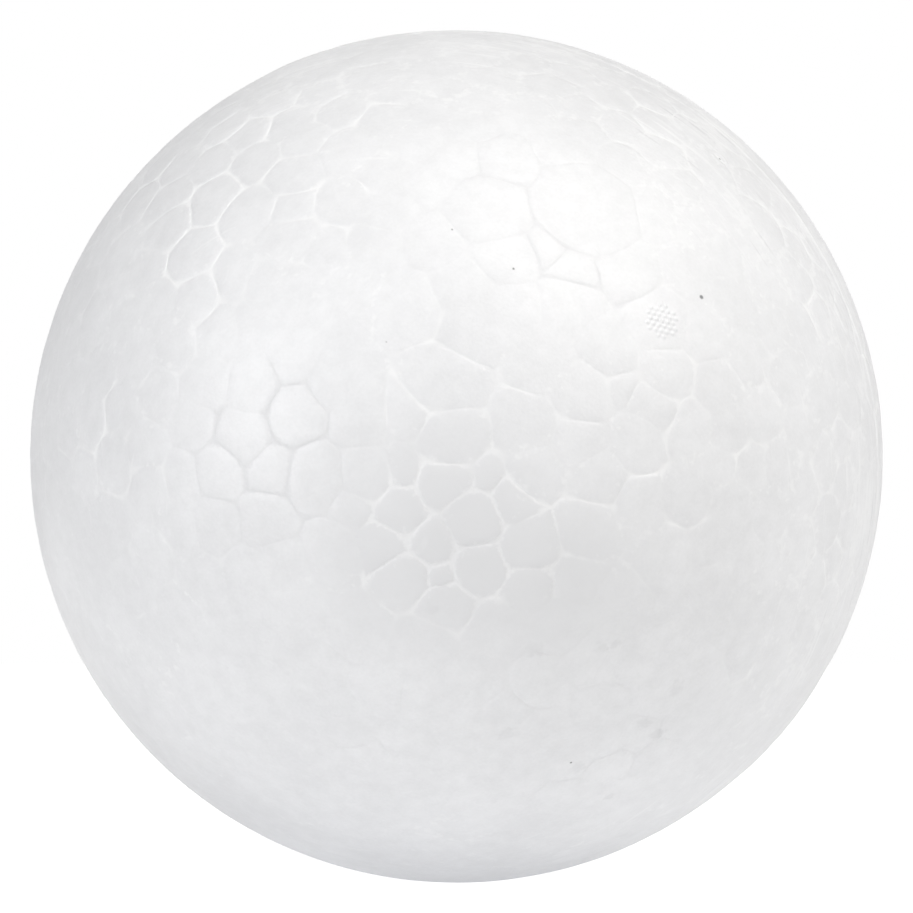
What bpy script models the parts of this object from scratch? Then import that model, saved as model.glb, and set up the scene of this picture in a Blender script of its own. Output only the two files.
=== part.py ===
"""A craft ball moulded in one piece from expanded polystyrene beads.

The beads swell in a closed mould until they press flat against it and against each other. The ball's
skin is therefore a round of low crowned cells with a groove wherever two beads met, and a thin raised
line runs round it where the two halves of the mould closed.
"""

import math

import bmesh
import bpy
import numpy as np
from mathutils import Vector

# Sizes in metres. The ball's centre is the origin, +Z is up and the front faces -Y.
BALL_DIAMETER = 0.080
BEAD_WIDTH = 0.0048
GROOVE_DEPTH = 0.00018
PARTING_LINE_WIDTH = 0.0008
PARTING_LINE_HEIGHT = 0.00012

# The parting plane faces the front, then leans so that its edge comes forward on one side.
PARTING_LEAN = math.radians(16)
PARTING_SIDE = math.radians(35)  # measured in the front view, from +X towards +Z

# How unevenly the beads lie, and how far they even out as they swell.
BEAD_SCATTER = 0.42  # as a share of a bead's width
BEAD_SIZE_SPREAD = 0.10  # as a share of a bead's width
SETTLING_ROUNDS = 3
BEAD_SEED = 11

# Beads whose cells stand out. Each is given by its place in the front view, to the right and up in
# hundredths of the ball's radius, and by its width against a usual bead's. The front view is seen
# from a point FRONT_VIEW_DISTANCE ball radii away from the centre.
FRONT_VIEW_DISTANCE = 12.0
MARKED_BEADS = (
    # the group on the left
    (-38, 10, 1.08),
    (-50, 5, 1.12),
    (-62, 8, 0.95),
    (-44, -3, 0.90),
    (-33, -5, 1.10),
    (-45, -15, 1.00),
    (-56, -4, 1.00),
    (-48, 16, 1.05),
    (-28, 19, 1.15),
    (-22, 9, 1.10),
    (-38, 23, 0.95),
    (-24, -11, 0.70),
    (-73, 2, 1.00),
    (-72, -8, 1.00),
    # the group in the middle
    (-3, 17, 1.15),
    (-12, 9, 0.90),
    (-2, 4, 1.15),
    (-13, -2, 0.90),
    (-3, -6, 1.05),
    (7, -6, 0.45),
    (13, -11, 0.80),
    (19, -3, 0.90),
    (17, 7, 1.00),
    (29, 3, 1.00),
    (-13, -13, 1.00),
    (-17, -21, 0.90),
    (-6, -20, 0.90),
    (4, -15, 1.10),
    (17, -21, 1.10),
    (6, -26, 1.00),
    (-4, -28, 0.45),
    (-12, -28, 0.90),
    (-2, -35, 0.85),
    (17, -31, 1.00),
    (28, -29, 0.95),
    (31, -17, 1.10),
    (-30, -23, 1.00),
    # the group at the upper left
    (-39, 58, 0.65),
    (-26, 60, 0.80),
    (-38, 67, 0.90),
    (-57, 61, 0.95),
    (-62, 47, 0.95),
    (-68, 54, 0.95),
    # the large cells at the top and on the right
    (11, 70, 1.10),
    (7, 58, 1.55),
    (31, 59, 2.05),
    (11, 47, 1.15),
    (20, 49, 0.40),
    (27, 43, 0.55),
    (41, 44, 1.00),
    (47, 57, 1.00),
    (26, 36, 0.95),
    (30, 15, 1.10),
    (21, 22, 1.00),
    (38, 17, 0.60),
    (48, 32, 1.20),
)

CELL_PACKING = math.sqrt(3) / 2  # a hexagon's area over the square of its width
GOLDEN_ANGLE = math.pi * (3 - math.sqrt(5))


def from_front_view(right, up):
    """The direction of the point on the ball that the front view shows at this place."""
    reach = FRONT_VIEW_DISTANCE
    slope = math.tan(math.asin(1 / reach)) / 100
    ray = Vector((right * slope, 1.0, up * slope))
    length = (reach - math.sqrt(reach**2 - ray.length_squared * (reach**2 - 1))) / ray.length_squared
    return Vector((0.0, -reach, 0.0)) + ray * length


def scattered_directions(count, spread):
    """Directions along a spiral from pole to pole, each knocked off its place at random."""
    random = np.random.default_rng(BEAD_SEED)
    step = np.arange(count) + 0.5
    height = 1 - 2 * step / count
    ring = np.sqrt(1 - height**2)
    turn = step * GOLDEN_ANGLE
    places = np.column_stack((ring * np.cos(turn), ring * np.sin(turn), height))
    places += random.uniform(-spread, spread, places.shape)
    widths = 1 + random.uniform(-BEAD_SIZE_SPREAD, BEAD_SIZE_SPREAD, count)
    return [(Vector(place).normalized(), width) for place, width in zip(places, widths)]


def bead_field():
    """Every bead as (direction, width against a usual bead's), the ones that keep their place first."""
    radius = BALL_DIAMETER / 2
    count = round(4 * math.pi * radius**2 / (CELL_PACKING * BEAD_WIDTH**2))
    angle = BEAD_WIDTH / radius
    # A bead at the end of each axis that the marked beads leave free makes the box the full diameter.
    held = [(Vector(axis), 1.0) for axis in ((1, 0, 0), (-1, 0, 0), (0, 1, 0), (0, 0, 1), (0, 0, -1))]
    held += [(from_front_view(right, up), width) for right, up, width in MARKED_BEADS]
    free = []
    for direction, width in scattered_directions(count, BEAD_SCATTER * angle):
        gaps = (direction.angle(other) - 0.45 * angle * other_width for other, other_width in held)
        if min(gaps) > 0.3 * angle * width:
            free.append((direction, width))
    return held + free, len(held)


def skin_over(beads):
    """A closed triangle skin with a corner over each bead, lifted so that wide beads get wide cells."""
    skin = bmesh.new()
    for direction, width in beads:
        cap = width * BEAD_WIDTH / BALL_DIAMETER
        skin.verts.new(direction / math.cos(cap))
    skin.verts.index_update()
    bmesh.ops.convex_hull(skin, input=skin.verts[:])
    return skin


def settled(beads, held):
    """The beads after each free one has moved to the middle of its neighbours."""
    skin = skin_over(beads)
    after = []
    for vert, (direction, width) in zip(skin.verts, beads):
        neighbours = [edge.other_vert(vert).co for edge in vert.link_edges]
        if vert.index >= held and neighbours:
            direction = sum(neighbours, Vector()).normalized()
        after.append((direction, width))
    skin.free()
    return after


def cell_relief(skin, beads):
    """Turns the skin's triangles into one crowned cell for each bead, with grooves between the cells."""
    crown_radius = BALL_DIAMETER / 2
    groove_radius = crown_radius - GROOVE_DEPTH
    crowns = skin.verts[:]
    bead_edges = skin.edges[:]
    covered = [vert for vert in crowns if not vert.link_faces]
    for corner in bmesh.ops.poke(skin, faces=skin.faces[:])["verts"]:
        first, second, third = (edge.other_vert(corner).co for edge in corner.link_edges)
        outward = (second - first).cross(third - first).normalized()
        corner.co = outward * math.copysign(groove_radius, outward.dot(first))
    for crown, (direction, width) in zip(crowns, beads):
        crown.co = direction * crown_radius
    # Turned to run from corner to corner, each edge between two beads is the groove between them.
    for edge in bead_edges:
        bmesh.utils.edge_rotate(edge)
    bmesh.ops.delete(skin, geom=covered, context="VERTS")


def parting_normal():
    side = Vector((math.cos(PARTING_SIDE), 0.0, math.sin(PARTING_SIDE)))
    return Vector((0.0, -math.cos(PARTING_LEAN), 0.0)) - side * math.sin(PARTING_LEAN)


def parting_line(skin):
    """Raises the thin line that the mould's joint leaves: two edges on the skin and a crest between."""
    normal = parting_normal()
    snap = PARTING_LINE_WIDTH / 40
    for offset in (-PARTING_LINE_WIDTH / 2, PARTING_LINE_WIDTH / 2, 0.0):
        geometry = skin.verts[:] + skin.edges[:] + skin.faces[:]
        bmesh.ops.bisect_plane(
            skin, geom=geometry, dist=snap, plane_co=normal * offset, plane_no=normal
        )
    for vert in skin.verts:
        if abs(vert.co.dot(normal)) < snap:
            vert.co = vert.co.normalized() * (BALL_DIAMETER / 2 + PARTING_LINE_HEIGHT)


def foam_material():
    """Expanded polystyrene: a cool white, closed skin with a low satin sheen."""
    material = bpy.data.materials.new("expanded_polystyrene")
    material.use_nodes = True
    shader = material.node_tree.nodes["Principled BSDF"]
    shader.inputs["Base Color"].default_value = (0.86, 0.87, 0.89, 1.0)
    shader.inputs["Roughness"].default_value = 0.5
    shader.inputs["Metallic"].default_value = 0.0
    shader.inputs["IOR"].default_value = 1.59
    return material


def moulded_ball(collection):
    beads, held = bead_field()
    for _ in range(SETTLING_ROUNDS):
        beads = settled(beads, held)
    skin = skin_over(beads)
    cell_relief(skin, beads)
    parting_line(skin)
    bmesh.ops.triangulate(skin, faces=skin.faces[:])
    bmesh.ops.recalc_face_normals(skin, faces=skin.faces[:])
    mesh = bpy.data.meshes.new("ball")
    skin.to_mesh(mesh)
    skin.free()
    mesh.materials.append(foam_material())
    mesh.shade_smooth()
    ball = bpy.data.objects.new("ball", mesh)
    collection.objects.link(ball)
    return ball


def main():
    for leftover in list(bpy.data.objects):
        bpy.data.objects.remove(leftover)
    collection = bpy.data.collections.new("polystyrene_ball")
    bpy.context.scene.collection.children.link(collection)
    moulded_ball(collection)


main()
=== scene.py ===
"""A craft ball moulded in one piece from expanded polystyrene beads, and the studio it stands in.

The skin is built bead by bead. Each bead's cell has a matt groove round it, where it is fused to its
neighbours, a rounded shoulder, and a satin face that was pressed against the wall of the mould.
"""

import math

import bmesh
import bpy
import numpy as np
from bpy.props import FloatProperty, FloatVectorProperty, IntProperty, PointerProperty
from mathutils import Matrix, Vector, noise


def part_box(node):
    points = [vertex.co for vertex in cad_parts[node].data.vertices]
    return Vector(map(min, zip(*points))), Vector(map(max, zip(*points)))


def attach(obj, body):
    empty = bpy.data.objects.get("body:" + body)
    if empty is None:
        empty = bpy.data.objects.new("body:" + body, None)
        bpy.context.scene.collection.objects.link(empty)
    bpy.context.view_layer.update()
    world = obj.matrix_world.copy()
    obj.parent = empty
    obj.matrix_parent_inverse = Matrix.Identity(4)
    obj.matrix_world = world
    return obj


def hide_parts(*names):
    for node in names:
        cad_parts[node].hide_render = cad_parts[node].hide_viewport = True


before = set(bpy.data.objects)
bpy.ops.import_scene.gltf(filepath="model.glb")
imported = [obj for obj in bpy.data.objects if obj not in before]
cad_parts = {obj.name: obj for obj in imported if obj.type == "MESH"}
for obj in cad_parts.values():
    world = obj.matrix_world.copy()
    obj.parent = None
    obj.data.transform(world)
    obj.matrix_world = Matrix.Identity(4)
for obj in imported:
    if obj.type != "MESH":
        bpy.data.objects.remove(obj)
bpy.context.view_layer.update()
BALL_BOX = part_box("ball")
BALL_RADIUS = (BALL_BOX[1].x - BALL_BOX[0].x) / 2

bl_info = {
    "name": "Moulded Foam Ball",
    "version": (1, 0, 0),
    "blender": (4, 5, 0),
    "location": "View3D > Sidebar > Foam Ball",
    "description": "Builds a ball moulded from expanded polystyrene beads, and a small studio round it",
    "category": "Object",
}

MM = 0.001

# The skin stays this far under the CAD ball's crowns, so that nothing on it stands out of the CAD box.
SKIN_MARGIN = 0.055 * MM

# The front view is seen from a point this many ball radii away from the ball's centre. Places in it
# are given to the right and up of the centre, in hundredths of the ball's radius.
FRONT_VIEW_DISTANCE = 12.0
# In the front view, as wide as it is high, the ball's outline and the half of the frame measure this.
OUTLINE_RADIUS_PX = 426.9
HALF_FRAME_PX = 456.5

# Beads whose cells stand out: right, up, width against a usual bead's.
MARKED_BEADS = (
    # the group on the left
    (-38, 10, 1.08),
    (-50, 5, 1.12),
    (-62, 8, 0.95),
    (-44, -3, 0.90),
    (-33, -5, 1.10),
    (-45, -15, 1.00),
    (-56, -4, 1.00),
    (-48, 16, 1.05),
    (-28, 19, 1.15),
    (-22, 9, 1.10),
    (-38, 23, 0.95),
    (-24, -11, 0.70),
    (-73, 2, 1.00),
    (-72, -8, 1.00),
    # the group in the middle
    (-3, 17, 1.15),
    (-12, 9, 0.90),
    (-2, 4, 1.15),
    (-13, -2, 0.90),
    (-3, -6, 1.05),
    (7, -6, 0.45),
    (13, -11, 0.80),
    (19, -3, 0.90),
    (17, 7, 1.00),
    (29, 3, 1.00),
    (-13, -13, 1.00),
    (-17, -21, 0.90),
    (-6, -20, 0.90),
    (4, -15, 1.10),
    (17, -21, 1.10),
    (6, -26, 1.00),
    (-4, -28, 0.45),
    (-12, -28, 0.90),
    (-2, -35, 0.85),
    (17, -31, 1.00),
    (28, -29, 0.95),
    (31, -17, 1.10),
    (-30, -23, 1.00),
    # the group at the upper left
    (-39, 58, 0.65),
    (-26, 60, 0.80),
    (-38, 67, 0.90),
    (-57, 61, 0.95),
    (-62, 47, 0.95),
    (-68, 54, 0.95),
    # the large cells at the top and on the right
    (11, 70, 1.10),
    (7, 58, 1.55),
    (31, 59, 2.05),
    (11, 47, 1.15),
    (20, 49, 0.40),
    (27, 43, 0.55),
    (41, 44, 1.00),
    (47, 57, 1.00),
    (26, 36, 0.95),
    (30, 15, 1.10),
    (21, 22, 1.00),
    (38, 17, 0.60),
    (48, 32, 1.20),
)

# How unevenly the beads lie, as shares of a bead's width, and how far they even out as they swell.
BEAD_SCATTER = 0.42
BEAD_SIZE_SPREAD = 0.10
SETTLING_ROUNDS = 3
BEAD_SEED = 11
# Least distance of a free bead from a marked one: a share of the marked bead's width and of its own.
MARKED_BEAD_ROOM = 0.45
FREE_BEAD_ROOM = 0.3
CELL_PACKING = math.sqrt(3) / 2  # a hexagon's area over the square of its width
GOLDEN_ANGLE = math.pi * (3 - math.sqrt(5))
# Points along the sides of the cells lie about this far apart.
SIDE_POINT_SPACING = 0.85 * MM
# How far a side bows, as a share of its length, and how far its points stray.
SIDE_BOW = 0.06
SIDE_STRAY = 0.04 * MM

# Where the grooves between the beads show clearly in the front view: right, up, reach, clearness.
CLEAR_PATCHES = (
    # the group in the middle, down to its bright lower edge
    (-6, -4, 18, 0.60),
    (-3, 18, 10, 0.60),
    (-2, -19, 18, 1.00),
    (18, -20, 12, 1.00),
    (29, -19, 8, 1.00),
    # the group on the left
    (-44, -1, 18, 0.85),
    (-38, 10, 9, 1.00),
    (-72, -2, 10, 0.40),
    (-84, 2, 12, 0.35),
    (-88, 30, 14, 0.40),
    # the groups at the upper left
    (-60, 57, 16, 0.22),
    (-36, 62, 14, 0.26),
    (-45, 82, 16, 0.26),
    (-72, 64, 12, 0.30),
    (-18, 84, 14, 0.30),
    # the large cells at the top
    (9, 60, 9, 0.25),
    (30, 84, 14, 0.30),
    # traces low on the front
    (28, -50, 12, 0.25),
    (42, -68, 10, 0.35),
    (-30, -50, 12, 0.30),
    (-20, -60, 10, 0.35),
    (65, -50, 8, 0.45),
)

# Lines along which single grooves show: clearness, then places in the front view.
CLEAR_LINES = (
    # round the round cell of the group on the left, and down from the group
    (0.90, (-44, 10), (-42, 15), (-38, 17), (-34, 15), (-32, 10), (-34, 5), (-38, 3), (-43, 5), (-44, 10)),
    (0.60, (-47, 3), (-56, 12), (-58, 15)),
    (0.55, (-51, -13), (-52, -20)),
    # the groups at the upper left
    (1.00, (-58, 66), (-61, 63), (-63, 60), (-62, 55), (-66, 49), (-67, 46), (-66, 41)),
    (0.60, (-63, 60), (-68, 58), (-71, 55)),
    (0.90, (-52, 66), (-52, 60), (-53, 56), (-56, 51), (-59, 42), (-59, 36)),
    (0.55, (-43, 70), (-42, 65), (-39, 61), (-36, 61), (-34, 56), (-38, 55), (-42, 57), (-41, 60)),
    (0.70, (-34, 56), (-29, 58), (-23, 52)),
    (0.45, (-42, 70), (-33, 71), (-32, 74), (-32, 83), (-28, 86)),
    (0.50, (-32, 73), (-25, 74)),
    (0.95, (-56, 74), (-54, 76), (-55, 77)),
    (0.95, (-44, 77), (-43, 80), (-39, 82)),
    (0.50, (-50, 73), (-50, 68), (-52, 66)),
    (0.80, (-74, 60), (-69, 66)),
    (0.50, (-29, 78), (-21, 81)),
    # near the left edge
    (0.90, (-83, 13), (-85, 4), (-79, -3), (-81, -10)),
    (0.55, (-74, 4), (-71, -10)),
    # near the right edge
    (0.90, (83, 36), (83, 29)),
    (0.60, (43, 76), (50, 74), (57, 67)),
    # over, round and under the large cells at the top
    (0.60, (0, 66), (5, 68), (8, 65), (14, 64), (18, 65), (19, 68)),
    (0.70, (14, 63), (18, 57), (19, 55)),
    (0.50, (-6, 58), (-5, 56), (0, 55), (1, 52)),
    (0.45, (2, 51), (16, 52)),
    (0.60, (17, 51), (20, 46), (22, 44), (24, 42)),
    (0.50, (21, 53), (22, 47)),
    (0.45, (22, 47), (29, 46), (32, 45), (36, 46)),
    (0.55, (24, 42), (31, 42), (35, 37), (39, 36)),
    (0.40, (36, 55), (40, 55), (43, 52), (47, 51)),
    (0.40, (17, 39), (22, 39), (23, 36)),
    # right of the middle
    (0.40, (18, 15), (23, 14), (24, 9), (32, 9)),
    (0.45, (35, 21), (36, 15), (40, 15), (43, 18)),
    (0.35, (35, 19), (42, 21), (45, 24), (48, 26)),
    (0.50, (57, 27), (55, 19), (52, 12), (49, 1)),
    (0.80, (45, -3), (49, -2)),
    (0.80, (27, -10), (39, -11), (45, -9)),
    (0.75, (49, -16), (53, -14), (61, -12)),
    (0.50, (65, -3), (67, 1), (72, 3), (73, 7), (74, 15)),
    # low on the front
    (0.55, (9, -60), (15, -59), (20, -60), (25, -58), (27, -56)),
    (0.60, (18, -76), (27, -76), (30, -73), (37, -70), (42, -70), (47, -65)),
    (0.65, (34, -57), (38, -56), (43, -59)),
    (0.45, (11, -44), (18, -46), (24, -45), (29, -42)),
)
# How near a line a side of a cell has to lie, in hundredths of the ball's radius, and how well it has
# to run along the line, as the cosine of the angle between them.
CLEAR_LINE_REACH = 4.5
CLEAR_LINE_RUN = 0.6

# How clearly the grooves show where nothing stands out, and how far that drifts.
USUAL_CLEARNESS = 0.18
USUAL_DRIFT = 0.14
# What is added near the mould's joint, up to this share of the radius from its plane.
JOINT_CLEARNESS = 0.10
JOINT_DRIFT = 0.9
JOINT_REACH = 0.6
# Low on the front, from this height down, in radii, the skin has closed over almost everywhere.
LOW_START = -0.26
LOW_FADE = 0.12
LOW_CLOSING = 0.65
# Where the noise is read, so that the drift and the clear groups behind the front don't coincide.
DRIFT_SCALE = 3.1
DRIFT_ORIGIN = Vector((4.0, 1.5, 7.0))
GROUP_SCALE = 2.3
GROUP_ORIGIN = Vector((11.0, 3.0, 5.0))

# Where the seams are no whiter than the faces, so that they look darker under a lamp's reflection:
# right, up, reach.
SHADED_PATCHES = (
    (-44, 2, 24),
    (-36, 18, 14),
    (14, 57, 26),
    (30, 42, 14),
    (30, -62, 34),
    (-30, -62, 30),
)

# Painted shade: the bead faces are darkened in the dark patch below the middle of the front, and
# the seams there are made less white: right, up, reach, level.
PAINTED_SHADE_PATCHES = (
    (0, -19, 26, 1.00),
    (23, -27, 22, 0.80),
    (-14, -26, 20, 0.70),
)

# The plane of the mould's joint: it faces the front, then leans so that its edge comes forward on
# one side, which is measured in the front view from +X towards +Z.
PARTING_LEAN = math.radians(16)
PARTING_SIDE = math.radians(35)

# Each steam vent of the mould prints a round patch of raised dots. Place in the front view: right, up.
# The other half of the mould has its vents at the mirrored places.
VENTS = ((48.2, 31.9),)
VENT_ROWS = Vector((0.2, 0.1, 1.0))  # the rows of dots run square to this direction
VENT_WIDTH = 3.9 * MM
VENT_PITCH = 0.56 * MM
VENT_DOT_WIDTH = 0.42 * MM
VENT_DOT_HEIGHT = 0.08 * MM
# Within this distance of a vent's middle the grooves between the beads are pressed closed.
VENT_CLOSED_REACH = 2.4 * MM
VENT_CLEARNESS = 0.15
# The skin is meshed this finely where such a small mark is printed, in this many rounds at most.
PRINT_MESH = 0.15 * MM
PRINT_ROUNDS = 5

# A pin that pushes the ball out of the mould leaves a round ridge: right, up.
PIN_MARKS = ((61.8, 69.9),)
PIN_WIDTH = 1.6 * MM
PIN_RIDGE_WIDTH = 0.34 * MM
PIN_RIDGE_HEIGHT = 0.045 * MM

# Specks of dust pressed into the skin: right, up, width in millimetres, level.
SPECKS = (
    (57.5, 37.4, 0.42, 0.90),
    (-1.0, 53.3, 0.26, 0.90),
    (13.4, 44.0, 0.24, 0.90),
    (-16.5, 26.9, 0.22, 0.90),
    (26.9, -71.8, 0.22, 0.90),
    (61.8, 69.9, 0.24, 0.80),
)
# Places low on the front that have been rubbed a little grey: right, up, width in millimetres, level.
RUBBED_PLACES = (
    (47.0, -65.2, 1.40, 0.10),
    (44.0, -62.6, 1.20, 0.06),
    (35.7, -79.8, 1.00, 0.08),
    (28.4, -73.1, 1.30, 0.05),
    (37.0, -43.9, 1.10, 0.06),
    (34.0, -45.0, 1.20, 0.05),
    (18.5, -45.3, 1.40, 0.05),
    (-5.8, -36.0, 1.20, 0.03),
    (11.8, -65.2, 1.30, 0.05),
    (51.6, -54.5, 1.60, 0.05),
)
# How the noise frays the edges of such marks: metres for its full range, and metres at its middle.
SPECK_FRAY = (-0.2 * MM, 0.1 * MM)
RUBBED_FRAY = (-1.8 * MM, 0.9 * MM)


def linear(colour):
    """A linear colour from an sRGB hex value."""
    channels = [int(colour[start : start + 2], 16) / 255 for start in (1, 3, 5)]
    return [c / 12.92 if c <= 0.04045 else ((c + 0.055) / 1.055) ** 2.4 for c in channels] + [1.0]


def colour_property(name, description, colour):
    """A property for a colour, with an sRGB hex value as its default."""
    return FloatVectorProperty(
        name=name, description=description, subtype="COLOR", size=4, min=0.0, max=1.0, default=linear(colour)
    )


def from_front_view(right, up):
    """The direction of the point on the ball that the front view shows at this place."""
    reach = FRONT_VIEW_DISTANCE
    slope = math.tan(math.asin(1 / reach)) / 100
    ray = Vector((right * slope, 1.0, up * slope))
    length = (reach - math.sqrt(reach**2 - ray.length_squared * (reach**2 - 1))) / ray.length_squared
    return Vector((0.0, -reach, 0.0)) + ray * length


class BallShape(bpy.types.PropertyGroup):
    """Sizes of the moulded ball and of its beads."""

    diameter: FloatProperty(
        name="Diameter",
        description="Width of the ball",
        default=2 * BALL_RADIUS,
        unit="LENGTH",
    )
    bead_width: FloatProperty(
        name="Bead width",
        description="Width of a usual bead's cell",
        default=4.8 * MM,
        unit="LENGTH",
    )
    groove_depth: FloatProperty(
        name="Groove depth",
        description="Depth of the clearest grooves between beads",
        default=0.09 * MM,
        unit="LENGTH",
    )
    crown_height: FloatProperty(
        name="Crown height",
        description="How far the middle of a bead's face stands above its edge",
        default=0.038 * MM,
        unit="LENGTH",
    )
    line_width: FloatProperty(
        name="Parting line width",
        description="Width of the raised line where the mould halves met",
        default=0.8 * MM,
        unit="LENGTH",
    )
    line_height: FloatProperty(
        name="Parting line height",
        description="Height of the raised line where the mould halves met",
        default=0.10 * MM,
        unit="LENGTH",
    )
    side_points: IntProperty(
        name="Points a side",
        description="Most points along one side of a cell",
        default=4,
        min=1,
        max=8,
    )


class FoamFinish(bpy.types.PropertyGroup):
    """Colours of the foam."""

    face_colour: colour_property("Face", "Bead faces that lay against the mould", "#e4e5e8")
    pale_face_colour: colour_property("Pale face", "The palest bead faces", "#edeef1")
    # Painted shade: faces in the dark patch below the middle of the front take this darker colour.
    painted_shade_face_colour: colour_property("Face in painted shade", "Bead faces darkened by painted shade", "#dfe0e3")
    dulled_colour: colour_property("Dulled scuff", "Scuffs by the joint that took on dust", "#cbccd0")
    groove_colour: colour_property("Groove", "Matt seams where beads are fused", "#f6f7f9")
    shaded_groove_colour: colour_property("Shaded groove", "Seams no whiter than the faces", "#e4e5e8")
    speck_colour: colour_property("Speck", "Dust pressed into the skin", "#6a6b6e")


class StudioSetup(bpy.types.PropertyGroup):
    """Floor and lamps."""

    floor_colour: colour_property("Floor", "Pale board that the ball stands on", "#d6d6d6")
    lamp_colour: colour_property("Warm lamps", "Light of the key lamp and the top lamp", "#fffdf9")
    lamp_level: FloatProperty(
        name="Lamp level",
        description="Strength of all lamps against the level they were set at",
        default=1.0,
        min=0.0,
    )


def scattered_directions(count, spread):
    """Directions along a spiral from pole to pole, each knocked off its place at random."""
    random = np.random.default_rng(BEAD_SEED)
    step = np.arange(count) + 0.5
    height = 1 - 2 * step / count
    ring = np.sqrt(1 - height**2)
    turn = step * GOLDEN_ANGLE
    places = np.column_stack((ring * np.cos(turn), ring * np.sin(turn), height))
    places += random.uniform(-spread, spread, places.shape)
    widths = 1 + random.uniform(-BEAD_SIZE_SPREAD, BEAD_SIZE_SPREAD, count)
    return [(Vector(place).normalized(), width) for place, width in zip(places, widths)]


def bead_field(shape):
    """Every bead as (direction, width against a usual bead's), the ones that keep their place first."""
    radius = shape.diameter / 2
    count = round(4 * math.pi * radius**2 / (CELL_PACKING * shape.bead_width**2))
    angle = shape.bead_width / radius
    held = [(Vector(axis), 1.0) for axis in ((1, 0, 0), (-1, 0, 0), (0, 1, 0), (0, 0, 1), (0, 0, -1))]
    held += [(from_front_view(right, up), width) for right, up, width in MARKED_BEADS]
    free = []
    for direction, width in scattered_directions(count, BEAD_SCATTER * angle):
        gaps = (
            direction.angle(other) - MARKED_BEAD_ROOM * angle * other_width for other, other_width in held
        )
        if min(gaps) > FREE_BEAD_ROOM * angle * width:
            free.append((direction, width))
    return held + free, len(held)


def skin_over(beads, shape):
    """A closed triangle skin with a corner over each bead, lifted so that wide beads get wide cells."""
    skin = bmesh.new()
    for direction, width in beads:
        cap = width * shape.bead_width / shape.diameter
        skin.verts.new(direction / math.cos(cap))
    skin.verts.index_update()
    bmesh.ops.convex_hull(skin, input=skin.verts[:])
    return skin


def settled(beads, held, shape):
    """The beads after each free one has moved to the middle of its neighbours."""
    skin = skin_over(beads, shape)
    after = []
    for vert, (direction, width) in zip(skin.verts, beads):
        neighbours = [edge.other_vert(vert).co for edge in vert.link_edges]
        if vert.index >= held and neighbours:
            direction = sum(neighbours, Vector()).normalized()
        after.append((direction, width))
    skin.free()
    return after


def front_place(direction):
    """The place in the front view, right and up, of a direction from the ball's centre."""
    slope = math.tan(math.asin(1 / FRONT_VIEW_DISTANCE)) / 100
    depth = (FRONT_VIEW_DISTANCE + direction.y) * slope
    return Vector((direction.x / depth, direction.z / depth))


def line_clearness(start, end):
    """How clearly a groove between two corners shows because it runs along one of the clear lines."""
    middle = (start + end).normalized()
    if middle.y > -0.2:
        return 0.0
    place = front_place(middle)
    heading = (front_place(end) - front_place(start)).normalized()
    value = 0.0
    for level, *bends in CLEAR_LINES:
        for first, second in zip(bends, bends[1:]):
            first, second = Vector(first), Vector(second)
            run = second - first
            share = max(0.0, min(1.0, (place - first).dot(run) / run.length_squared))
            away = (first + run * share - place).length / CLEAR_LINE_REACH
            if away < 1 and abs(heading.dot(run.normalized())) > CLEAR_LINE_RUN:
                value = max(value, level * min(1.0, 2 * (1 - away)))
    return value


def vent_places():
    """The directions of the steam vents: each one and its mirror image in the other mould half."""
    normal = parting_normal()
    places = []
    for right, up in VENTS:
        front = from_front_view(right, up)
        places += [front, front - 2 * front.dot(normal) * normal]
    return places


def clearness(direction):
    """How clearly the grooves show here, from 0, where the skin is closed over, to 1."""
    drift = noise.fractal(direction * DRIFT_SCALE + DRIFT_ORIGIN, 1.0, 2.0, 2)
    # Near the mould's joint, where the steam got out, the skin is less closed over.
    near_joint = max(0.0, 1 - abs(direction.dot(parting_normal())) / JOINT_REACH)
    value = USUAL_CLEARNESS + USUAL_DRIFT * drift
    value += near_joint * max(0.0, JOINT_CLEARNESS + JOINT_DRIFT * drift)
    if direction.y < 0:
        value *= 1 - LOW_CLOSING * max(0.0, min(1.0, (LOW_START - direction.z) / LOW_FADE))
    # The patches belong to the front. Behind it, clear groups come and go by rule.
    if direction.y > 0.12:
        group = noise.noise(direction * GROUP_SCALE + GROUP_ORIGIN)
        value += 0.9 * max(0.0, min(1.0, (group - 0.02) / 0.22))
    for right, up, reach, level in CLEAR_PATCHES:
        centre = from_front_view(right, up)
        distance = direction.angle(centre) / (reach / 100)
        if distance < 1.6:
            value = max(value, level * max(0.0, min(1.0, (1.35 - distance) / 0.5)))
    # The vents press the skin closed.
    for centre in vent_places():
        if direction.angle(centre) < VENT_CLOSED_REACH / BALL_RADIUS:
            value *= VENT_CLEARNESS
    return max(0.02, min(1.0, value))


def seam_shade(direction):
    """How far the seams here are from the usual white, from 0 to 1."""
    value = 0.0
    if direction.y < 0:
        for right, up, reach in SHADED_PATCHES:
            distance = direction.angle(from_front_view(right, up)) / (reach / 100)
            value = max(value, min(1.0, (1.3 - distance) / 0.4))
    return value


def painted_shade_level(direction):
    """How far the painted shade darkens the faces and seams here, from 0 to 1."""
    value = 0.0
    if direction.y < 0:
        for right, up, reach, level in PAINTED_SHADE_PATCHES:
            distance = direction.angle(from_front_view(right, up)) / (reach / 100)
            value = max(value, level * max(0.0, 1 - distance**2 / 2) ** 2)
    return value


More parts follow.
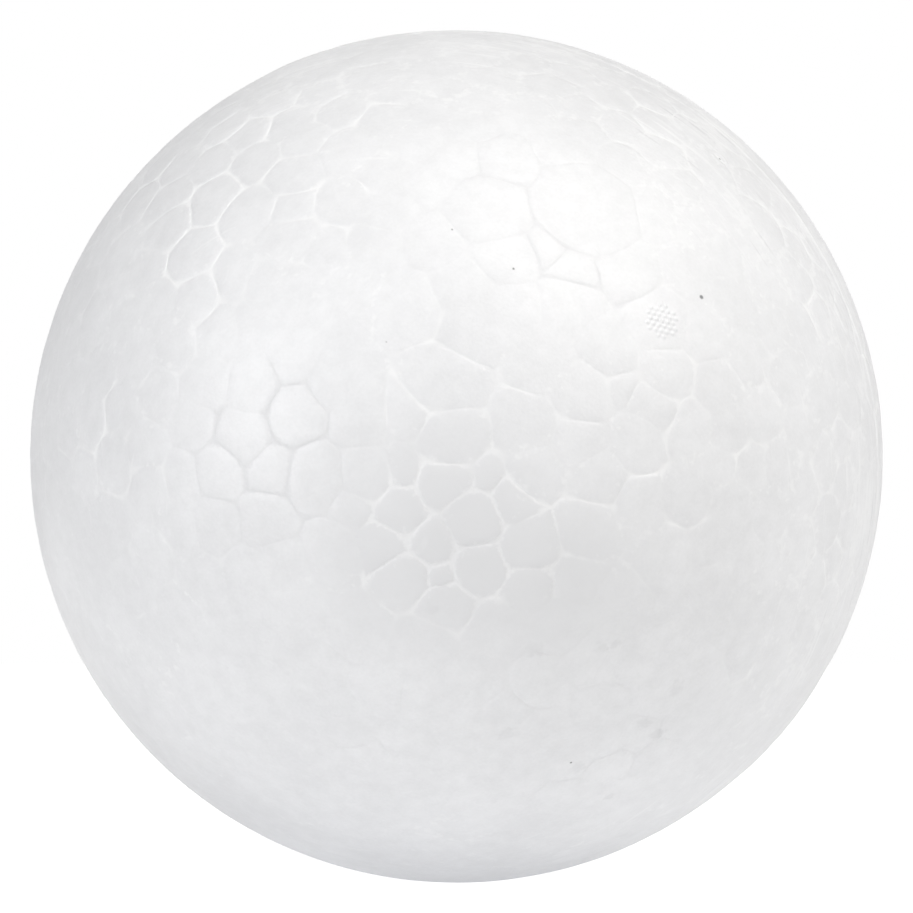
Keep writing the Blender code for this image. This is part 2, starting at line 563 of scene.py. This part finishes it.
class GrooveNetwork:
    """The points where grooves run, numbered once so that neighbouring cells share them."""

    def __init__(self, skin, shape):
        self.radius = shape.diameter / 2
        self.random = np.random.default_rng(BEAD_SEED + 1)
        self.points = []
        self.clear = []
        self.pits = []
        self.runs = {}
        skin.faces.index_update()
        skin.edges.index_update()
        for face in skin.faces:
            outward = face.normal * math.copysign(1.0, face.normal.dot(face.verts[0].co))
            self.points.append(outward)
            self.clear.append(0.0)
            self.pits.append(self.random.random() ** 3)
        corner_sides = [[] for _ in self.points]
        for edge in skin.edges:
            first, second = (face.index for face in edge.link_faces)
            start, end = self.points[first], self.points[second]
            clear = clearness((start + end).normalized())
            # Even in a clear group a side now and then is closed over.
            side_clear = clear * (1 - 0.75 * self.random.random() ** 3)
            if clear < 0.35:
                side_clear = clear * (0.4 + 1.6 * self.random.random() ** 2)
            side_clear = max(side_clear, line_clearness(start, end))
            corner_sides[first].append(side_clear)
            corner_sides[second].append(side_clear)
            self.runs[edge.index] = self.side(first, second, side_clear, shape)
        for corner, sides in enumerate(corner_sides):
            self.clear[corner] = 0.5 * max(sides) + 0.5 * sum(sides) / len(sides)

    def side(self, first, second, side_clear, shape):
        """Adds the points between two corners, on a slight bow."""
        start, end = self.points[first], self.points[second]
        chord = (end - start).length
        steps = max(1, min(shape.side_points, round(chord * self.radius / SIDE_POINT_SPACING)))
        across = start.cross(end).normalized()
        bow = self.random.uniform(-SIDE_BOW, SIDE_BOW) * chord
        run = [first]
        for step in range(1, steps):
            share = step / steps
            stray = self.random.uniform(-SIDE_STRAY, SIDE_STRAY) / self.radius
            point = start.lerp(end, share) + across * (bow * 4 * share * (1 - share) + stray)
            run.append(len(self.points))
            self.points.append(point.normalized())
            self.clear.append(side_clear)
            self.pits.append(0.0)
        return run + [second]

    def cell(self, vert):
        """The closed run of points round a bead, each with the sides that it lies on."""
        outline = []
        first_loop = loop = vert.link_loops[0]
        while True:
            before = loop.link_loop_prev
            run = self.runs[before.edge.index]
            if run[0] != loop.face.index:
                run = run[::-1]
            outline.append(run)
            loop = before.link_loop_radial_next
            if loop == first_loop:
                return outline


# The rings of a cell: distance from the groove's bottom in millimetres, largest share of the way to
# the middle of the cell, share of the groove's depth, and share of the face's tilt and lift.
CELL_RINGS = (
    (0.09, 0.14, 0.50, 0.35),
    (0.22, 0.30, 0.08, 0.8),
    (0.75, 0.52, 0.0, 1.0),
)
# Distances from the groove, in millimetres, that the last ring and the middle stand for.
LAST_RING_DISTANCE = 1.5
MIDDLE_DISTANCE = 2.4
# How far the faces tilt, in radians, and lift, in metres, as spreads, and the share of that which is
# left where the skin has closed over.
FACE_TILT = 0.008
FACE_LIFT = 0.008 * MM
CLOSED_SHARE = 0.15
# The share of the crown's height that is left there.
CLOSED_CROWN = 0.12


def cell_surface(network, sides, random, shape):
    """Places, distances from the groove and clearness of one cell's inner rings and middle."""
    radius = network.radius
    numbers = [number for run in sides for number in run[:-1]]
    outline = np.array([network.points[number] for number in numbers])
    middle = outline.mean(0)
    middle /= np.linalg.norm(middle)
    heights = []
    for run in sides:
        start, end = (np.array(network.points[number]) for number in (run[0], run[-1]))
        inward = np.cross(middle, end - start)
        inward /= max(np.linalg.norm(inward), 1e-9)
        inward *= math.copysign(1.0, (middle - start) @ inward)
        heights.append([max((middle - np.array(network.points[number])) @ inward, 0.008) for number in run])
    reach = []
    rounding = []
    for side, own in enumerate(heights):
        before = heights[side - 1]
        reach.append(min(own[0], before[-1]))
        reach.extend(own[1:-1])
        # The rings keep away from the corners, so that a face is rounder than its cell.
        along = np.arange(len(own) - 1) / (len(own) - 1)
        rounding.extend((1 - np.sin(math.pi * along)) ** 2)
    reach = np.array(reach)
    rounding = np.array(rounding)
    pits = np.array([network.pits[number] for number in numbers])
    clear = np.array([network.clear[number] for number in numbers])
    # Where the skin is closed over, the faces run into each other.
    apart = CLOSED_SHARE + (1 - CLOSED_SHARE) * clear.mean()
    tilt = np.cross(middle, random.normal(0, FACE_TILT, 3)) * apart
    lift = random.normal(0, FACE_LIFT) * apart
    crown = crown_height(clear, shape)
    rings = []
    widen = 1 + rounding * (1.0 + 0.8 * pits)
    for distance, most, depth, loose in CELL_RINGS:
        share = np.minimum(distance * MM / radius / reach * widen, most)
        rings.append((share, depth, loose, distance))
    share = rings[-1][0]
    rings.append((share + (1 - share) * 0.5, 0.0, 1.0, LAST_RING_DISTANCE))
    placed = []
    for share, depth, loose, distance in rings:
        spots = outline + (middle - outline) * share[:, None]
        spots /= np.linalg.norm(spots, axis=1)[:, None]
        rise = loose * (lift + radius * (spots - middle) @ tilt) - crown * (1 - share) ** 2
        rise -= depth * shape.groove_depth * clear
        placed.append((spots * (radius - SKIN_MARGIN + rise)[:, None], distance, clear))
    centre = middle * (radius - SKIN_MARGIN + lift)
    return numbers, placed, centre, float(clear.mean())


def crown_height(clear, shape):
    """How far a bead's edge lies under the middle of its face: less where the skin has closed over."""
    return shape.crown_height * (CLOSED_CROWN + (1 - CLOSED_CROWN) * clear)


def groove_bottom(network, number, shape):
    """The place of a groove's bottom at one of the network's points."""
    clear = network.clear[number]
    depth = shape.groove_depth * clear * (1 + 0.5 * network.pits[number]) + crown_height(clear, shape)
    return network.points[number] * (network.radius - SKIN_MARGIN - depth)


def parting_normal():
    """The direction square to the plane of the mould's joint, towards the front."""
    side = Vector((math.cos(PARTING_SIDE), 0.0, math.sin(PARTING_SIDE)))
    return Vector((0.0, -math.cos(PARTING_LEAN), 0.0)) - side * math.sin(PARTING_LEAN)


def raise_parting_line(body, shape):
    """Cuts the skin along the mould's joint and raises a thin rounded line there."""
    normal = parting_normal()
    half = shape.line_width / 2
    for offset in (-half, -half / 2, 0.0, half / 2, half):
        geometry = body.verts[:] + body.edges[:] + body.faces[:]
        bmesh.ops.bisect_plane(
            body, geom=geometry, dist=half / 20, plane_co=normal * offset, plane_no=normal
        )
    for vert in body.verts:
        offset = abs(vert.co.dot(normal)) / half
        if offset < 1:
            direction = vert.co.normalized()
            worn = 0.75 + 0.5 * noise.noise(direction * 9)
            vert.co += direction * shape.line_height * worn * (1 - offset**2) ** 1.5


def print_marks(body):
    """Prints what the mould's steam vents and pins leave in the skin."""
    for centre in vent_places():
        print_vent(body, centre)
    for right, up in PIN_MARKS:
        print_pin_mark(body, from_front_view(right, up))


def mesh_finely(body, centre, reach):
    """Splits the skin's long edges near a direction, until a small mark can be printed there."""
    for _ in range(PRINT_ROUNDS):
        near = [
            face
            for face in body.faces
            if face.verts[0].co.dot(centre) > 0
            and (face.calc_center_median() - centre * centre.dot(face.verts[0].co)).length < reach
        ]
        near = bmesh.ops.triangulate(body, faces=near)["faces"]
        long_edges = {edge for face in near for edge in face.edges if edge.calc_length() > PRINT_MESH}
        if not long_edges:
            return
        bmesh.ops.subdivide_edges(body, edges=sorted(long_edges, key=lambda edge: edge.index), cuts=1)
        body.edges.index_update()


def print_pin_mark(body, centre):
    """Raises the round ridge of a pin mark."""
    mesh_finely(body, centre, PIN_WIDTH / 2 + PIN_RIDGE_WIDTH)
    for vert in body.verts:
        away = (vert.co - centre * vert.co.dot(centre)).length
        if vert.co.dot(centre) > 0 and away < PIN_WIDTH:
            offset = (away - PIN_WIDTH / 2) / (PIN_RIDGE_WIDTH / 2)
            vert.co += vert.co.normalized() * PIN_RIDGE_HEIGHT * max(0.0, 1 - offset**2)


def print_vent(body, centre):
    """Raises the dots of a steam vent, which stand in rows, each row half a dot from the last."""
    reach = VENT_WIDTH / 2
    mesh_finely(body, centre, reach)
    across = centre.cross(VENT_ROWS).normalized()
    along = centre.cross(across)
    for vert in body.verts:
        if vert.co.dot(centre) < 0:
            continue
        column = vert.co.dot(across) / VENT_PITCH
        row = vert.co.dot(along) / VENT_PITCH * 2 / math.sqrt(3)
        # Skin well outside the patch has no dot near it.
        if math.hypot(column, row) * VENT_PITCH > reach * 1.3:
            continue
        near_row = round(row)
        shift = 0.5 * (near_row % 2)
        near_column = round(column - shift) + shift
        dot_away = math.hypot(near_column, near_row * math.sqrt(3) / 2) * VENT_PITCH
        if dot_away > reach - VENT_PITCH / 2:
            continue
        away = math.hypot(column - near_column, (row - near_row) * math.sqrt(3) / 2) * VENT_PITCH
        rise = max(0.0, 1 - (away / (VENT_DOT_WIDTH / 2)) ** 2)
        vert.co += vert.co.normalized() * VENT_DOT_HEIGHT * rise


def build_skin(shape):
    """The ball's skin, cell by cell, with the layers that the material reads."""
    beads, held = bead_field(shape)
    for _ in range(SETTLING_ROUNDS):
        beads = settled(beads, held, shape)
    skin = skin_over(beads, shape)
    network = GrooveNetwork(skin, shape)
    random = np.random.default_rng(BEAD_SEED + 2)
    body = bmesh.new()
    edge_layer = body.verts.layers.float.new("edge_mm")
    clear_layer = body.verts.layers.float.new("groove")
    bead_layer = body.verts.layers.float.new("bead")
    shade_layer = body.verts.layers.float.new("shade")
    painted_shade_layer = body.verts.layers.float.new("painted_shade")

    def add(place, distance, clear, bead):
        vert = body.verts.new(place)
        vert[edge_layer] = distance
        vert[clear_layer] = clear
        vert[bead_layer] = bead
        # Painted shade low on the front darkens the faces and makes the seams less white.
        painted_shade = painted_shade_level(Vector(place))
        vert[shade_layer] = max(seam_shade(Vector(place)), 0.6 * painted_shade)
        vert[painted_shade_layer] = painted_shade
        return vert

    shared = []
    for number in range(len(network.points)):
        clear = network.clear[number] * (1 + 0.6 * network.pits[number])
        shared.append(add(groove_bottom(network, number, shape), 0.0, clear, 0.5))
    for vert in skin.verts:
        if not vert.link_faces:
            continue
        bead = random.random()
        numbers, rings, centre, mean_clear = cell_surface(network, network.cell(vert), random, shape)
        count = len(numbers)
        outer = [shared[number] for number in numbers]
        for places, distance, clear in rings:
            inner = [add(place, distance, own, bead) for place, own in zip(places, clear)]
            for step in range(count):
                after = (step + 1) % count
                body.faces.new((outer[step], outer[after], inner[after], inner[step]))
            outer = inner
        hub = add(centre, MIDDLE_DISTANCE, mean_clear, bead)
        for step in range(count):
            body.faces.new((outer[step], outer[(step + 1) % count], hub))
    skin.free()
    return body


def add_node(tree, kind, links=(), **settings):
    """Adds a node. Settings set its properties, and links feed its inputs a socket or a value."""
    node = tree.nodes.new(kind)
    for name, value in settings.items():
        setattr(node, name, value)
    for socket, value in links:
        target = node.inputs[socket]
        if isinstance(value, bpy.types.NodeSocket):
            tree.links.new(value, target)
        else:
            target.default_value = value
    return node


# The noise patterns of the foam: size in millimetres and detail.
PATTERNS = (
    (1.5, 2.0),  # blotches, which break the seams up and make the faces cloudy
    (0.3, 3.0),  # grain, the foam's own cells seen through the skin
    (9.0, 2.0),  # a slow drift in how far the skin has melted
    (2.5, 2.0),  # patches, where a faint seam shows and where the skin has closed over it
    (0.7, 4.0),  # speckle, whose peaks are matt flecks about 0.4 mm across
)
# The scuffs are this many times longer than wide, and this long.
SCUFF_STRETCH = 16.0
SCUFF_LENGTH = 8 * MM


def foam_material(finish):
    """Expanded polystyrene as it leaves the mould.

    The bead faces were melted smooth against warm metal, so they are satin and let a little light
    in. The seams between them are torn-looking and matt, and scatter more light back, so they are
    whiter than the faces wherever a lamp isn't mirrored.
    """
    material = bpy.data.materials.new("moulded_expanded_polystyrene")
    material.use_nodes = True
    tree = material.node_tree
    shader = tree.nodes["Principled BSDF"]
    shader.inputs["IOR"].default_value = 1.59

    place = add_node(tree, "ShaderNodeTexCoord").outputs["Object"]
    edge, groove, bead, shade, painted_shade = (
        add_node(tree, "ShaderNodeAttribute", attribute_name=name).outputs["Fac"]
        for name in ("edge_mm", "groove", "bead", "shade", "painted_shade")
    )
    # A pattern's scale is one over its size in metres.
    blotch, grain, drift, patches, speckle = (
        add_node(
            tree, "ShaderNodeTexNoise", [("Vector", place), ("Scale", 1 / (size * MM)), ("Detail", detail)]
        ).outputs["Fac"]
        for size, detail in PATTERNS
    )

    # The seams are 0.12 to 0.32 mm wide on each side of the groove's bottom, with ragged edges.
    seam_width = add_node(
        tree,
        "ShaderNodeMapRange",
        [("Value", blotch), ("From Min", 0.3), ("From Max", 0.7), ("To Min", 0.12), ("To Max", 0.32)],
    ).outputs["Result"]
    ragged_edge = add_node(
        tree, "ShaderNodeMath", [(0, grain), (1, 0.30), (2, edge)], operation="MULTIPLY_ADD"
    ).outputs["Value"]
    ragged_edge = add_node(
        tree, "ShaderNodeMath", [(0, ragged_edge), (1, 0.15)], operation="SUBTRACT"
    ).outputs["Value"]
    seam_shape = add_node(
        tree,
        "ShaderNodeMapRange",
        [
            ("Value", ragged_edge),
            ("From Min", 0.0),
            ("From Max", seam_width),
            ("To Min", 1.0),
            ("To Max", 0.0),
        ],
        interpolation_type="SMOOTHSTEP",
    ).outputs["Result"]
    seam_level = add_node(
        tree, "ShaderNodeMath", [(0, patches), (1, 1.6), (2, groove)], operation="MULTIPLY_ADD"
    ).outputs["Value"]
    seam_level = add_node(
        tree,
        "ShaderNodeMapRange",
        [("Value", seam_level), ("From Min", 0.95), ("From Max", 1.7), ("To Min", 0.0), ("To Max", 0.85)],
        interpolation_type="SMOOTHSTEP",
    ).outputs["Result"]
    seam = add_node(
        tree, "ShaderNodeMath", [(0, seam_shape), (1, seam_level)], operation="MULTIPLY"
    ).outputs["Value"]

    # Matt flecks where the skin didn't close, thickest beside the seams and near the mould's joint.
    beside = add_node(
        tree,
        "ShaderNodeMapRange",
        [("Value", edge), ("From Min", 0.1), ("From Max", 1.2), ("To Min", 0.10), ("To Max", -0.06)],
    ).outputs["Result"]
    fleck = add_node(
        tree, "ShaderNodeMath", [(0, speckle), (1, beside)], operation="ADD"
    ).outputs["Value"]
    fleck = add_node(
        tree, "ShaderNodeMath", [(0, drift), (1, 0.4), (2, fleck)], operation="MULTIPLY_ADD"
    ).outputs["Value"]
    joint_height = add_node(
        tree, "ShaderNodeVectorMath", [(0, place), (1, parting_normal())], operation="DOT_PRODUCT"
    ).outputs["Value"]
    joint_away = add_node(
        tree, "ShaderNodeMath", [(0, joint_height)], operation="ABSOLUTE"
    ).outputs["Value"]
    near_joint = add_node(
        tree,
        "ShaderNodeMapRange",
        [
            ("Value", joint_away),
            ("From Min", 2 * MM),
            ("From Max", 26 * MM),
            ("To Min", 0.13),
            ("To Max", 0.0),
        ],
    ).outputs["Result"]
    fleck = add_node(
        tree, "ShaderNodeMath", [(0, fleck), (1, near_joint)], operation="ADD"
    ).outputs["Value"]
    on_joint = add_node(
        tree,
        "ShaderNodeMapRange",
        [
            ("Value", joint_away),
            ("From Min", 0.15 * MM),
            ("From Max", 0.55 * MM),
            ("To Min", 0.22),
            ("To Max", 0.0),
        ],
        interpolation_type="SMOOTHSTEP",
    ).outputs["Result"]
    fleck = add_node(
        tree, "ShaderNodeMath", [(0, fleck), (1, on_joint)], operation="ADD"
    ).outputs["Value"]
    # Fine scuffs run round the ball beside the joint. They come and go with the drift, and are bright
    # where the skin is roughened and dull where it took on dust.
    stretched = add_node(
        tree, "ShaderNodeVectorMath", [(0, parting_normal()), ("Scale", joint_height)], operation="SCALE"
    ).outputs["Vector"]
    stretched = add_node(
        tree,
        "ShaderNodeVectorMath",
        [(0, stretched), (1, (SCUFF_STRETCH, SCUFF_STRETCH, SCUFF_STRETCH)), (2, place)],
        operation="MULTIPLY_ADD",
    ).outputs["Vector"]
    scuff = add_node(
        tree, "ShaderNodeTexNoise", [("Vector", stretched), ("Scale", 1 / SCUFF_LENGTH), ("Detail", 3.0)]
    ).outputs["Fac"]
    scuffed = add_node(
        tree,
        "ShaderNodeMapRange",
        [("Value", drift), ("From Min", 0.40), ("From Max", 0.62), ("To Min", 0.25), ("To Max", 1.0)],
    ).outputs["Result"]
    scuffed = add_node(
        tree, "ShaderNodeMath", [(0, near_joint), (1, scuffed)], operation="MULTIPLY"
    ).outputs["Value"]
    dulled = add_node(
        tree, "ShaderNodeMath", [(0, scuffed), (1, 1.5)], operation="MULTIPLY"
    ).outputs["Value"]
    dulled = add_node(
        tree, "ShaderNodeMath", [(0, dulled), (1, scuff)], operation="SUBTRACT"
    ).outputs["Value"]
    dulled = add_node(
        tree,
        "ShaderNodeMapRange",
        [("Value", dulled), ("From Min", -0.24), ("From Max", -0.08), ("To Min", 0.0), ("To Max", 0.6)],
    ).outputs["Result"]
    scuff = add_node(
        tree, "ShaderNodeMath", [(0, scuffed), (1, 1.5), (2, scuff)], operation="MULTIPLY_ADD"
    ).outputs["Value"]
    scuff = add_node(
        tree,
        "ShaderNodeMapRange",
        [("Value", scuff), ("From Min", 0.68), ("From Max", 0.84), ("To Min", 0.0), ("To Max", 0.70)],
    ).outputs["Result"]
    fleck = add_node(
        tree,
        "ShaderNodeMapRange",
        [("Value", fleck), ("From Min", 0.86), ("From Max", 1.0), ("To Min", 0.0), ("To Max", 0.45)],
    ).outputs["Result"]
    fleck = add_node(
        tree, "ShaderNodeMath", [(0, fleck), (1, scuff)], operation="MAXIMUM"
    ).outputs["Value"]
    seam = add_node(
        tree, "ShaderNodeMath", [(0, seam), (1, fleck)], operation="MAXIMUM"
    ).outputs["Value"]

    # The faces are cloudy: each bead has its own tone, and the blotches and the drift show too.
    tone = add_node(
        tree, "ShaderNodeMath", [(0, bead), (1, 0.15), (2, drift)], operation="MULTIPLY_ADD"
    ).outputs["Value"]
    tone = add_node(
        tree, "ShaderNodeMath", [(0, blotch), (1, 0.8), (2, tone)], operation="MULTIPLY_ADD"
    ).outputs["Value"]
    tone = add_node(
        tree, "ShaderNodeMath", [(0, grain), (1, 0.6), (2, tone)], operation="MULTIPLY_ADD"
    ).outputs["Value"]
    tone = add_node(
        tree,
        "ShaderNodeMapRange",
        [("Value", tone), ("From Min", 0.95), ("From Max", 1.60), ("To Min", 0.0), ("To Max", 1.0)],
    ).outputs["Result"]
    face = add_node(
        tree,
        "ShaderNodeMix",
        [(0, tone), (6, list(finish.face_colour)), (7, list(finish.pale_face_colour))],
        data_type="RGBA",
    ).outputs[2]
    # Painted shade: faces below the middle of the front are mixed towards a darker grey.
    face = add_node(
        tree, "ShaderNodeMix", [(0, painted_shade), (6, face), (7, list(finish.painted_shade_face_colour))], data_type="RGBA"
    ).outputs[2]
    face = add_node(
        tree, "ShaderNodeMix", [(0, dulled), (6, face), (7, list(finish.dulled_colour))], data_type="RGBA"
    ).outputs[2]
    # The shade layer also carries the painted shade, so the seams below the middle of the front are less
    # white.
    seam_colour = add_node(
        tree,
        "ShaderNodeMix",
        [(0, shade), (6, list(finish.groove_colour)), (7, list(finish.shaded_groove_colour))],
        data_type="RGBA",
    ).outputs[2]
    colour = add_node(
        tree, "ShaderNodeMix", [(0, seam), (6, face), (7, seam_colour)], data_type="RGBA"
    ).outputs[2]

    # Specks and rubbed places lie over all that, with frayed edges.
    marks = [(*speck, grain, *SPECK_FRAY) for speck in SPECKS]
    marks += [(*rubbed, speckle, *RUBBED_FRAY) for rubbed in RUBBED_PLACES]
    for right, up, width, level, pattern, fray, middle in marks:
        spot = from_front_view(right, up) * BALL_RADIUS
        away = add_node(
            tree, "ShaderNodeVectorMath", [(0, place), (1, spot)], operation="DISTANCE"
        ).outputs["Value"]
        ragged = add_node(
            tree, "ShaderNodeMath", [(0, pattern), (1, fray), (2, away)], operation="MULTIPLY_ADD"
        ).outputs["Value"]
        reach = width * MM / 2
        mask = add_node(
            tree,
            "ShaderNodeMapRange",
            [
                ("Value", ragged),
                ("From Min", reach * 0.5 - middle),
                ("From Max", reach * 1.3 - middle),
                ("To Min", level),
                ("To Max", 0.0),
            ],
            interpolation_type="SMOOTHSTEP",
        ).outputs["Result"]
        colour = add_node(
            tree, "ShaderNodeMix", [(0, mask), (6, colour), (7, list(finish.speck_colour))], data_type="RGBA"
        ).outputs[2]

    # Satin faces, matt seams and flecks.
    roughness = add_node(
        tree,
        "ShaderNodeMapRange",
        [("Value", seam), ("From Min", 0.0), ("From Max", 1.0), ("To Min", 0.40), ("To Max", 0.85)],
    ).outputs["Result"]

    # The skin is uneven by a few hundredths of a millimetre.
    relief = add_node(
        tree, "ShaderNodeMath", [(0, blotch), (1, 0.6), (2, grain)], operation="MULTIPLY_ADD"
    ).outputs["Value"]
    relief = add_node(
        tree, "ShaderNodeBump", [("Strength", 0.55), ("Distance", 0.03 * MM), ("Height", relief)]
    ).outputs["Normal"]

    tree.links.new(colour, shader.inputs["Base Color"])
    tree.links.new(roughness, shader.inputs["Roughness"])
    tree.links.new(relief, shader.inputs["Normal"])
    return material


class OBJECT_OT_moulded_ball(bpy.types.Operator):
    """Builds the moulded ball over its CAD solid"""

    bl_idname = "object.moulded_ball"
    bl_label = "Moulded Ball"

    def execute(self, context):
        shape = context.scene.ball_shape
        body = build_skin(shape)
        raise_parting_line(body, shape)
        print_marks(body)
        bmesh.ops.triangulate(body, faces=body.faces[:])
        bmesh.ops.recalc_face_normals(body, faces=body.faces[:])
        mesh = bpy.data.meshes.new("moulded_ball")
        body.to_mesh(mesh)
        body.free()
        mesh.shade_smooth()
        mesh.materials.append(foam_material(context.scene.foam_finish))
        ball = bpy.data.objects.new("moulded_ball", mesh)
        context.scene.collection.objects.link(ball)
        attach(ball, "root")
        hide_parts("ball")
        return {"FINISHED"}


# Softboxes a metre from the ball: turn from the front towards +X and height in degrees, width and
# height in metres, power in watts.
LAMPS = (
    ("key", 55, 45, 1.00, 1.00, 7.6),
    ("top", 0, 65, 1.00, 1.00, 3.8),
    ("left_strip", -55, 15, 0.45, 0.90, 5.3),
    ("right_fill", 110, 28, 0.50, 0.80, 1.1),
)
WARM_LAMPS = ("key", "top")
FLOOR_HALF_WIDTH = 0.5
SENSOR_WIDTH = 36.0  # millimetres
# How bright the room and the floor's own glow are, where white is 1: as the camera sees them, as the
# ball's skin mirrors them, and as light that they cast.
ROOM_LEVELS = (1.0, 0.66, 0.0)
FLOOR_LEVELS = (0.85, 0.58, 0.31)


def level_by_ray(tree, levels):
    """A value that differs between the camera's view, mirrored views and light that is cast."""
    seen, mirrored, cast = levels
    path = add_node(tree, "ShaderNodeLightPath").outputs
    value = cast
    for ray, level in (("Is Camera Ray", seen), ("Is Transmission Ray", seen), ("Is Glossy Ray", mirrored)):
        value = add_node(
            tree,
            "ShaderNodeMath",
            [(0, path[ray]), (1, level - cast), (2, value)],
            operation="MULTIPLY_ADD",
        ).outputs["Value"]
    return value


def floor_material(studio):
    """White board, evenly painted and matt, lit a little from below as a product table is."""
    material = bpy.data.materials.new("painted_white_board")
    material.use_nodes = True
    tree = material.node_tree
    shader = tree.nodes["Principled BSDF"]
    shader.inputs["Base Color"].default_value = list(studio.floor_colour)
    shader.inputs["Roughness"].default_value = 0.9
    shader.inputs["Specular IOR Level"].default_value = 0.0
    shader.inputs["Emission Color"].default_value = (1.0, 1.0, 1.0, 1.0)
    glow = level_by_ray(tree, FLOOR_LEVELS)
    tree.links.new(glow, shader.inputs["Emission Strength"])
    return material


class OBJECT_OT_foam_ball_studio(bpy.types.Operator):
    """Sets up the floor, the lamps and the camera"""

    bl_idname = "object.foam_ball_studio"
    bl_label = "Studio"

    def execute(self, context):
        studio = context.scene.studio_setup
        shape = context.scene.ball_shape
        radius = shape.diameter / 2
        self.lay_floor(context, studio, radius)
        self.hang_lamps(context, studio)
        self.place_camera(context, radius)
        self.white_surroundings(context)
        context.scene.view_settings.view_transform = "Standard"
        return {"FINISHED"}

    def lay_floor(self, context, studio, radius):
        """Lays the board under the ball."""
        board = bmesh.new()
        bmesh.ops.create_grid(board, x_segments=1, y_segments=1, size=FLOOR_HALF_WIDTH)
        mesh = bpy.data.meshes.new("floor")
        board.to_mesh(mesh)
        board.free()
        mesh.materials.append(floor_material(studio))
        floor = bpy.data.objects.new("floor", mesh)
        floor.location.z = -radius
        context.scene.collection.objects.link(floor)

    def hang_lamps(self, context, studio):
        """Hangs the softboxes, each facing the ball."""
        for name, turn, height, width, tall, power in LAMPS:
            turn, height = math.radians(turn), math.radians(height)
            level = math.cos(height)
            out = Vector((math.sin(turn) * level, -math.cos(turn) * level, math.sin(height)))
            light = bpy.data.lights.new(name, "AREA")
            light.shape = "RECTANGLE"
            light.size = width
            light.size_y = tall
            light.energy = power * studio.lamp_level
            if name in WARM_LAMPS:
                light.color = studio.lamp_colour[:3]
            lamp = bpy.data.objects.new(name, light)
            lamp.location = out
            lamp.rotation_euler = out.to_track_quat("Z", "Y").to_euler()
            context.scene.collection.objects.link(lamp)

    def place_camera(self, context, radius):
        """Points the camera at the ball's middle, from as far as the front view is seen."""
        lens = bpy.data.cameras.new("camera")
        lens.sensor_width = SENSOR_WIDTH
        lens.sensor_fit = "HORIZONTAL"
        share = OUTLINE_RADIUS_PX / HALF_FRAME_PX
        lens.lens = SENSOR_WIDTH / 2 * share / math.tan(math.asin(1 / FRONT_VIEW_DISTANCE))
        camera = bpy.data.objects.new("camera", lens)
        camera.location = (0.0, -FRONT_VIEW_DISTANCE * radius, 0.0)
        camera.rotation_euler = (math.pi / 2, 0.0, 0.0)
        context.scene.collection.objects.link(camera)
        context.scene.camera = camera

    def white_surroundings(self, context):
        """Makes the room white to the camera and a little darker in what the skin mirrors."""
        world = bpy.data.worlds.new("studio_white")
        context.scene.world = world
        world.use_nodes = True
        tree = world.node_tree
        background = tree.nodes["Background"]
        background.inputs["Color"].default_value = (1.0, 1.0, 1.0, 1.0)
        tree.links.new(level_by_ray(tree, ROOM_LEVELS), background.inputs["Strength"])


class VIEW3D_PT_foam_ball(bpy.types.Panel):
    """Lists the ball and its studio"""

    bl_label = "Foam Ball"
    bl_space_type = "VIEW_3D"
    bl_region_type = "UI"
    bl_category = "Foam Ball"

    def draw(self, context):
        layout = self.layout
        for group in (context.scene.ball_shape, context.scene.foam_finish, context.scene.studio_setup):
            box = layout.box()
            for name in group.bl_rna.properties.keys():
                if name not in ("rna_type", "name"):
                    box.prop(group, name)
        layout.operator("object.moulded_ball")
        layout.operator("object.foam_ball_studio")


CLASSES = (
    BallShape,
    FoamFinish,
    StudioSetup,
    OBJECT_OT_moulded_ball,
    OBJECT_OT_foam_ball_studio,
    VIEW3D_PT_foam_ball,
)


def register():
    for cls in CLASSES:
        bpy.utils.register_class(cls)
    bpy.types.Scene.ball_shape = PointerProperty(type=BallShape)
    bpy.types.Scene.foam_finish = PointerProperty(type=FoamFinish)
    bpy.types.Scene.studio_setup = PointerProperty(type=StudioSetup)


def unregister():
    del bpy.types.Scene.studio_setup
    del bpy.types.Scene.foam_finish
    del bpy.types.Scene.ball_shape
    for cls in reversed(CLASSES):
        bpy.utils.unregister_class(cls)


def main():
    register()
    bpy.ops.object.moulded_ball()
    bpy.ops.object.foam_ball_studio()


if __name__ == "__main__":
    main()
